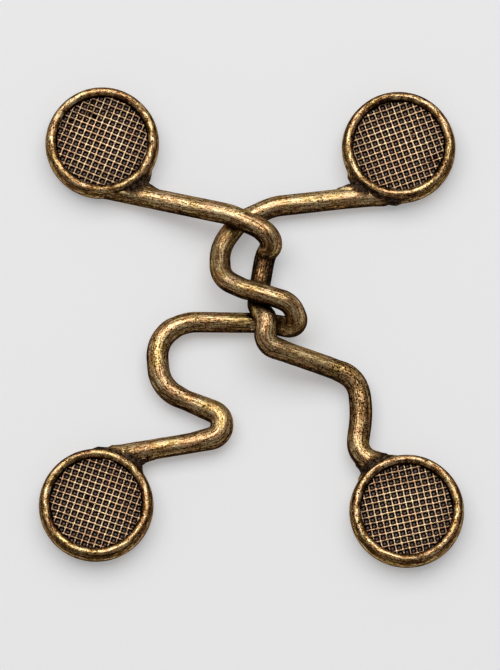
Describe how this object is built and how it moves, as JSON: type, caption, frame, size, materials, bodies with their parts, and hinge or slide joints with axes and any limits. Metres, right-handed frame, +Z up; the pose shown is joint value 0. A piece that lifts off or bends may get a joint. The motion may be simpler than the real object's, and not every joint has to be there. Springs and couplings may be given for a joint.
{
  "type": "trouser hook",
  "caption": "Clasp of two bent brass wires twisted round each other, each soldered at both ends to a round pad with a waffled inset",
  "frame": {"origin": "under the middle of the four pads, on the plane that the pads rest on", "axes": "+X to the right of the picture, +Y to its top, +Z up from the surface that the clasp lies on"},
  "size_m": [0.0562, 0.0654, 0.0078],
  "materials": {
    "antique_brass": "antique brass with dark patina in the hollows and rubbed high spots",
    "waffle_brass": "darkened antique brass with rubbed ribs"
  },
  "bodies": {
    "root": {"left_hook": "antique_brass", "right_hook": "antique_brass", "waffle_upper_left": "waffle_brass", "waffle_lower_right": "waffle_brass", "waffle_upper_right": "waffle_brass", "waffle_lower_left": "waffle_brass"}
  },
  "joints": []
}
